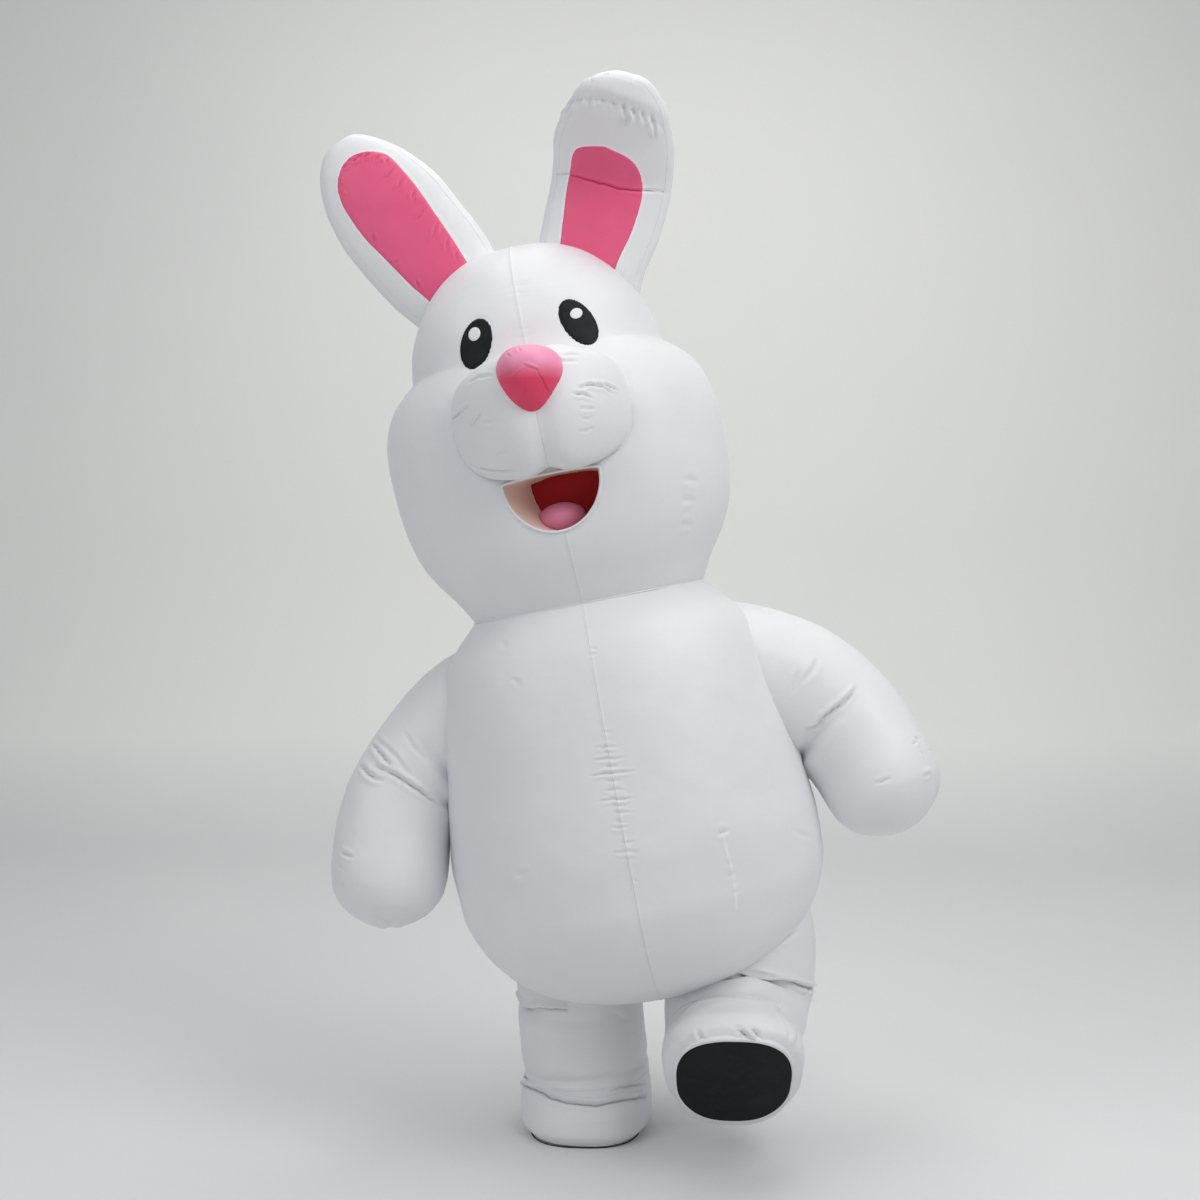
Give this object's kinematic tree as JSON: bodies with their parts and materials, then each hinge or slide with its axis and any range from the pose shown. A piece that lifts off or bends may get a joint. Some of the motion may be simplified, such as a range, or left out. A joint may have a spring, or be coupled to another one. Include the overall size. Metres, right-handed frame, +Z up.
{
  "type": "rabbit mascot costume",
  "caption": "Inflatable white rabbit costume in a walking pose, with a round belly, mitts, closed feet, long ears with pink linings, a padded muzzle and an open mouth with a window.",
  "frame": {"origin": "the wearer's shoulders, midway between them, 1.38 m above the floor that the standing foot rests on", "axes": "+Z up, the front faces -Y, and +X points to the wearer's left"},
  "size_m": [1.5327, 0.9106, 2.5857],
  "materials": {
    "white_cloth": "satin coated polyester",
    "pink_cloth": "satin coated polyester",
    "black_cloth": "plain black cloth",
    "peach_cloth": "matte cloth",
    "dark_red_mesh": "fine see-through mesh",
    "zip_tape": "woven tape",
    "zip_metal": "brushed"
  },
  "bodies": {
    "costume": {"ear_back_left": "white_cloth", "ear_back_right": "white_cloth", "ear_front_left": "white_cloth", "ear_front_right": "white_cloth", "ear_lining_left": "pink_cloth", "ear_lining_right": "pink_cloth", "eye_left": "black_cloth", "eye_right": "black_cloth", "foot_left": "white_cloth", "foot_right": "white_cloth", "head_back_left": "white_cloth", "head_back_right": "white_cloth", "head_front_left": "white_cloth", "head_front_right": "white_cloth", "leg_left": "white_cloth", "leg_right": "white_cloth", "mitt_left": "white_cloth", "mitt_right": "white_cloth", "mouth_lining": "peach_cloth", "mouth_window": "dark_red_mesh", "muzzle_left": "white_cloth", "muzzle_right": "white_cloth", "nose": "pink_cloth", "sleeve_left": "white_cloth", "sleeve_right": "white_cloth", "sole_left": "black_cloth", "sole_right": "black_cloth", "tongue": "pink_cloth", "trunk_back_left": "white_cloth", "trunk_back_right": "white_cloth", "trunk_front_left": "white_cloth", "trunk_front_right": "white_cloth", "zip_slider": "zip_metal", "zip_tape": "zip_tape"},
    "zip_pull": {"zip_pull": "zip_metal"}
  },
  "joints": [
    {"name": "pull_hinge", "type": "hinge", "parent": "costume", "child": "zip_pull", "pos_m": [-0.02254, 0.27855, -0.07053], "axis": [0.9816, 0, 0.1908], "range_deg": [0, 150]}
  ]
}
